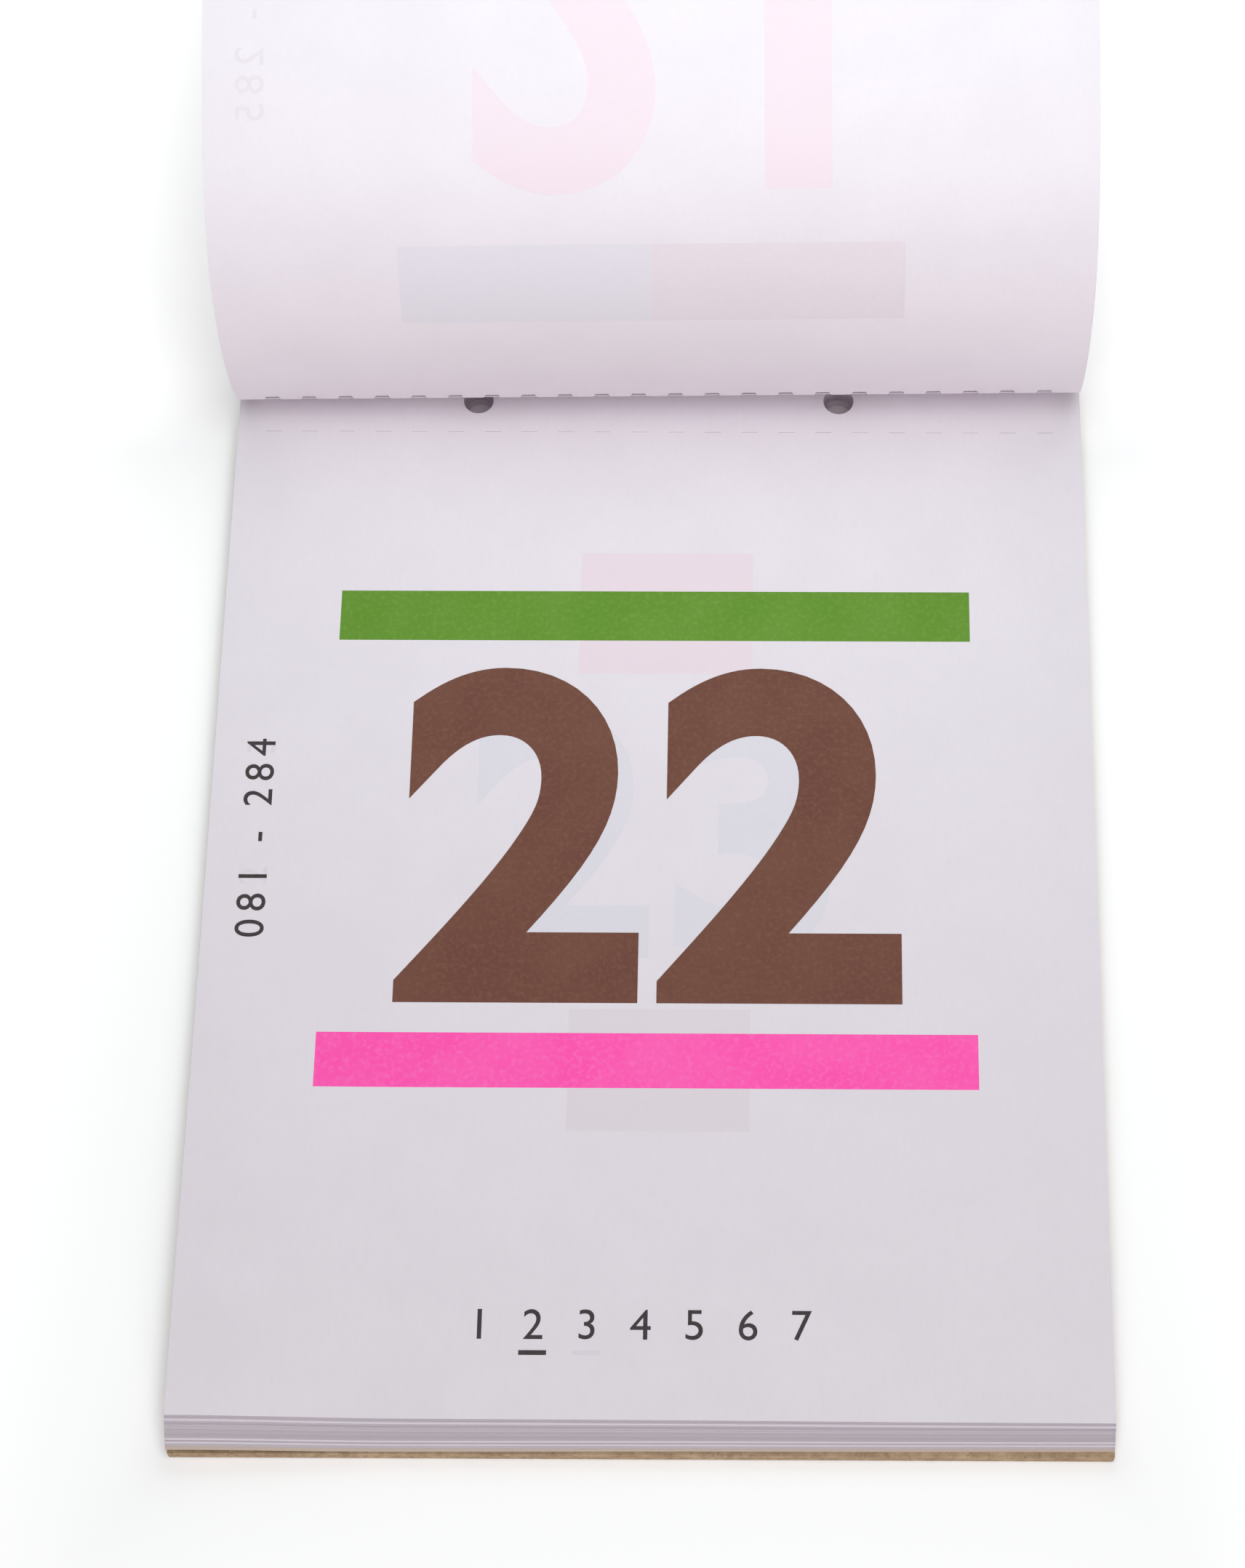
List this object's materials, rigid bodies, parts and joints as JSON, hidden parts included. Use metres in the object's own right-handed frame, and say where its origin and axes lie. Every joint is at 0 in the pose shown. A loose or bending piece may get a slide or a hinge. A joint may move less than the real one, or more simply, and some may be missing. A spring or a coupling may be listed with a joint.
{
  "type": "tear-off day calendar",
  "caption": "Tear-off day calendar: padded block of perforated day leaves on a drilled grey board, one leaf turned back over the glued head.",
  "frame": {"origin": "middle of the backing board's underside", "axes": "+Z out of the day's page, +Y towards the glued head, +X to the reader's right"},
  "size_m": [0.1412, 0.2999, 0.0716],
  "materials": {
    "paper": "uncoated, pale lilac white",
    "greyboard": "raw pressed fibre",
    "padding_glue": "dried white padding glue"
  },
  "bodies": {
    "pad": {"backing_board": "greyboard", "head_glue": "padding_glue", "stub_block": "paper", "today_stub": "paper"},
    "leaf_02": {"leaf_02": "paper"},
    "leaf_03": {"leaf_03": "paper"},
    "leaf_04": {"leaf_04": "paper"},
    "leaf_05": {"leaf_05": "paper"},
    "leaf_06": {"leaf_06": "paper"},
    "leaf_07": {"leaf_07": "paper"},
    "leaf_08": {"leaf_08": "paper"},
    "leaf_09": {"leaf_09": "paper"},
    "leaf_10": {"leaf_10": "paper"},
    "leaf_11": {"leaf_11": "paper"},
    "leaf_12": {"leaf_12": "paper"},
    "leaf_13": {"leaf_13": "paper"},
    "leaf_14": {"leaf_14": "paper"},
    "leaf_15": {"leaf_15": "paper"},
    "leaf_16": {"leaf_16": "paper"},
    "leaf_17": {"leaf_17": "paper"},
    "leaf_18": {"leaf_18": "paper"},
    "leaf_19": {"leaf_19": "paper"},
    "leaf_20": {"leaf_20": "paper"},
    "leaf_21": {"leaf_21": "paper"},
    "leaf_22": {"leaf_22": "paper"},
    "leaf_23": {"leaf_23": "paper"},
    "leaf_24": {"leaf_24": "paper"},
    "leaf_25": {"leaf_25": "paper"},
    "leaf_26": {"leaf_26": "paper"},
    "leaf_27": {"leaf_27": "paper"},
    "leaf_28": {"leaf_28": "paper"},
    "leaf_29": {"leaf_29": "paper"},
    "leaf_30": {"leaf_30": "paper"},
    "today_leaf": {"today_leaf": "paper"},
    "turned_stub": {"turned_stub": "paper"},
    "turned_leaf": {"turned_leaf": "paper"}
  },
  "joints": [
    {"name": "leaf_02_lift", "type": "hinge", "parent": "pad", "child": "leaf_02", "pos_m": [0, 0.0804, 0.00569], "axis": [-1, 0, 0], "range_deg": [0, 24]},
    {"name": "leaf_03_lift", "type": "hinge", "parent": "pad", "child": "leaf_03", "pos_m": [0, 0.0804, 0.00557], "axis": [-1, 0, 0], "range_deg": [0, 23.17]},
    {"name": "leaf_04_lift", "type": "hinge", "parent": "pad", "child": "leaf_04", "pos_m": [0, 0.0804, 0.00545], "axis": [-1, 0, 0], "range_deg": [0, 22.34]},
    {"name": "leaf_05_lift", "type": "hinge", "parent": "pad", "child": "leaf_05", "pos_m": [0, 0.0804, 0.00532], "axis": [-1, 0, 0], "range_deg": [0, 21.52]},
    {"name": "leaf_06_lift", "type": "hinge", "parent": "pad", "child": "leaf_06", "pos_m": [0, 0.0804, 0.0052], "axis": [-1, 0, 0], "range_deg": [0, 20.69]},
    {"name": "leaf_07_lift", "type": "hinge", "parent": "pad", "child": "leaf_07", "pos_m": [0, 0.0804, 0.00508], "axis": [-1, 0, 0], "range_deg": [0, 19.86]},
    {"name": "leaf_08_lift", "type": "hinge", "parent": "pad", "child": "leaf_08", "pos_m": [0, 0.0804, 0.00496], "axis": [-1, 0, 0], "range_deg": [0, 19.04]},
    {"name": "leaf_09_lift", "type": "hinge", "parent": "pad", "child": "leaf_09", "pos_m": [0, 0.0804, 0.00484], "axis": [-1, 0, 0], "range_deg": [0, 18.21]},
    {"name": "leaf_10_lift", "type": "hinge", "parent": "pad", "child": "leaf_10", "pos_m": [0, 0.0804, 0.00471], "axis": [-1, 0, 0], "range_deg": [0, 17.38]},
    {"name": "leaf_11_lift", "type": "hinge", "parent": "pad", "child": "leaf_11", "pos_m": [0, 0.0804, 0.00459], "axis": [-1, 0, 0], "range_deg": [0, 16.55]},
    {"name": "leaf_12_lift", "type": "hinge", "parent": "pad", "child": "leaf_12", "pos_m": [0, 0.0804, 0.00447], "axis": [-1, 0, 0], "range_deg": [0, 15.72]},
    {"name": "leaf_13_lift", "type": "hinge", "parent": "pad", "child": "leaf_13", "pos_m": [0, 0.0804, 0.00435], "axis": [-1, 0, 0], "range_deg": [0, 14.9]},
    {"name": "leaf_14_lift", "type": "hinge", "parent": "pad", "child": "leaf_14", "pos_m": [0, 0.0804, 0.00423], "axis": [-1, 0, 0], "range_deg": [0, 14.07]},
    {"name": "leaf_15_lift", "type": "hinge", "parent": "pad", "child": "leaf_15", "pos_m": [0, 0.0804, 0.0041], "axis": [-1, 0, 0], "range_deg": [0, 13.24]},
    {"name": "leaf_16_lift", "type": "hinge", "parent": "pad", "child": "leaf_16", "pos_m": [0, 0.0804, 0.00398], "axis": [-1, 0, 0], "range_deg": [0, 12.41]},
    {"name": "leaf_17_lift", "type": "hinge", "parent": "pad", "child": "leaf_17", "pos_m": [0, 0.0804, 0.00386], "axis": [-1, 0, 0], "range_deg": [0, 11.59]},
    {"name": "leaf_18_lift", "type": "hinge", "parent": "pad", "child": "leaf_18", "pos_m": [0, 0.0804, 0.00374], "axis": [-1, 0, 0], "range_deg": [0, 10.76]},
    {"name": "leaf_19_lift", "type": "hinge", "parent": "pad", "child": "leaf_19", "pos_m": [0, 0.0804, 0.00362], "axis": [-1, 0, 0], "range_deg": [0, 9.93]},
    {"name": "leaf_20_lift", "type": "hinge", "parent": "pad", "child": "leaf_20", "pos_m": [0, 0.0804, 0.00349], "axis": [-1, 0, 0], "range_deg": [0, 9.1]},
    {"name": "leaf_21_lift", "type": "hinge", "parent": "pad", "child": "leaf_21", "pos_m": [0, 0.0804, 0.00337], "axis": [-1, 0, 0], "range_deg": [0, 8.28]},
    {"name": "leaf_22_lift", "type": "hinge", "parent": "pad", "child": "leaf_22", "pos_m": [0, 0.0804, 0.00325], "axis": [-1, 0, 0], "range_deg": [0, 7.45]},
    {"name": "leaf_23_lift", "type": "hinge", "parent": "pad", "child": "leaf_23", "pos_m": [0, 0.0804, 0.00313], "axis": [-1, 0, 0], "range_deg": [0, 6.62]},
    {"name": "leaf_24_lift", "type": "hinge", "parent": "pad", "child": "leaf_24", "pos_m": [0, 0.0804, 0.00301], "axis": [-1, 0, 0], "range_deg": [0, 5.79]},
    {"name": "leaf_25_lift", "type": "hinge", "parent": "pad", "child": "leaf_25", "pos_m": [0, 0.0804, 0.00288], "axis": [-1, 0, 0], "range_deg": [0, 4.97]},
    {"name": "leaf_26_lift", "type": "hinge", "parent": "pad", "child": "leaf_26", "pos_m": [0, 0.0804, 0.00276], "axis": [-1, 0, 0], "range_deg": [0, 4.14]},
    {"name": "leaf_27_lift", "type": "hinge", "parent": "pad", "child": "leaf_27", "pos_m": [0, 0.0804, 0.00264], "axis": [-1, 0, 0], "range_deg": [0, 3.31]},
    {"name": "leaf_28_lift", "type": "hinge", "parent": "pad", "child": "leaf_28", "pos_m": [0, 0.0804, 0.00252], "axis": [-1, 0, 0], "range_deg": [0, 2.48]},
    {"name": "leaf_29_lift", "type": "hinge", "parent": "pad", "child": "leaf_29", "pos_m": [0, 0.0804, 0.0024], "axis": [-1, 0, 0], "range_deg": [0, 1.66]},
    {"name": "leaf_30_lift", "type": "hinge", "parent": "pad", "child": "leaf_30", "pos_m": [0, 0.0804, 0.00227], "axis": [-1, 0, 0], "range_deg": [0, 0.828]},
    {"name": "today_leaf_tear_off", "type": "slide", "parent": "leaf_02", "child": "today_leaf", "axis": [0, -1, 0], "range_m": [0, 0.176]},
    {"name": "turned_stub_lift", "type": "hinge", "parent": "pad", "child": "turned_stub", "pos_m": [0, 0.0924, 0.00568], "axis": [-1, 0, 0], "range_deg": [-24, 4]},
    {"name": "turned_leaf_swing", "type": "hinge", "parent": "turned_stub", "child": "turned_leaf", "pos_m": [0, 0.08293, 0.01317], "axis": [-0.9999, -0.007, -0.009], "range_deg": [-24, 10]}
  ],
  "couplings": [
    {"joint": "leaf_03_lift", "follows": "leaf_02_lift", "ratio": 0.96552},
    {"joint": "leaf_04_lift", "follows": "leaf_02_lift", "ratio": 0.93103},
    {"joint": "leaf_05_lift", "follows": "leaf_02_lift", "ratio": 0.89655},
    {"joint": "leaf_06_lift", "follows": "leaf_02_lift", "ratio": 0.86207},
    {"joint": "leaf_07_lift", "follows": "leaf_02_lift", "ratio": 0.82759},
    {"joint": "leaf_08_lift", "follows": "leaf_02_lift", "ratio": 0.7931},
    {"joint": "leaf_09_lift", "follows": "leaf_02_lift", "ratio": 0.75862},
    {"joint": "leaf_10_lift", "follows": "leaf_02_lift", "ratio": 0.72414},
    {"joint": "leaf_11_lift", "follows": "leaf_02_lift", "ratio": 0.68966},
    {"joint": "leaf_12_lift", "follows": "leaf_02_lift", "ratio": 0.65517},
    {"joint": "leaf_13_lift", "follows": "leaf_02_lift", "ratio": 0.62069},
    {"joint": "leaf_14_lift", "follows": "leaf_02_lift", "ratio": 0.58621},
    {"joint": "leaf_15_lift", "follows": "leaf_02_lift", "ratio": 0.55172},
    {"joint": "leaf_16_lift", "follows": "leaf_02_lift", "ratio": 0.51724},
    {"joint": "leaf_17_lift", "follows": "leaf_02_lift", "ratio": 0.48276},
    {"joint": "leaf_18_lift", "follows": "leaf_02_lift", "ratio": 0.44828},
    {"joint": "leaf_19_lift", "follows": "leaf_02_lift", "ratio": 0.41379},
    {"joint": "leaf_20_lift", "follows": "leaf_02_lift", "ratio": 0.37931},
    {"joint": "leaf_21_lift", "follows": "leaf_02_lift", "ratio": 0.34483},
    {"joint": "leaf_22_lift", "follows": "leaf_02_lift", "ratio": 0.31034},
    {"joint": "leaf_23_lift", "follows": "leaf_02_lift", "ratio": 0.27586},
    {"joint": "leaf_24_lift", "follows": "leaf_02_lift", "ratio": 0.24138},
    {"joint": "leaf_25_lift", "follows": "leaf_02_lift", "ratio": 0.2069},
    {"joint": "leaf_26_lift", "follows": "leaf_02_lift", "ratio": 0.17241},
    {"joint": "leaf_27_lift", "follows": "leaf_02_lift", "ratio": 0.13793},
    {"joint": "leaf_28_lift", "follows": "leaf_02_lift", "ratio": 0.10345},
    {"joint": "leaf_29_lift", "follows": "leaf_02_lift", "ratio": 0.068966},
    {"joint": "leaf_30_lift", "follows": "leaf_02_lift", "ratio": 0.034483}
  ]
}
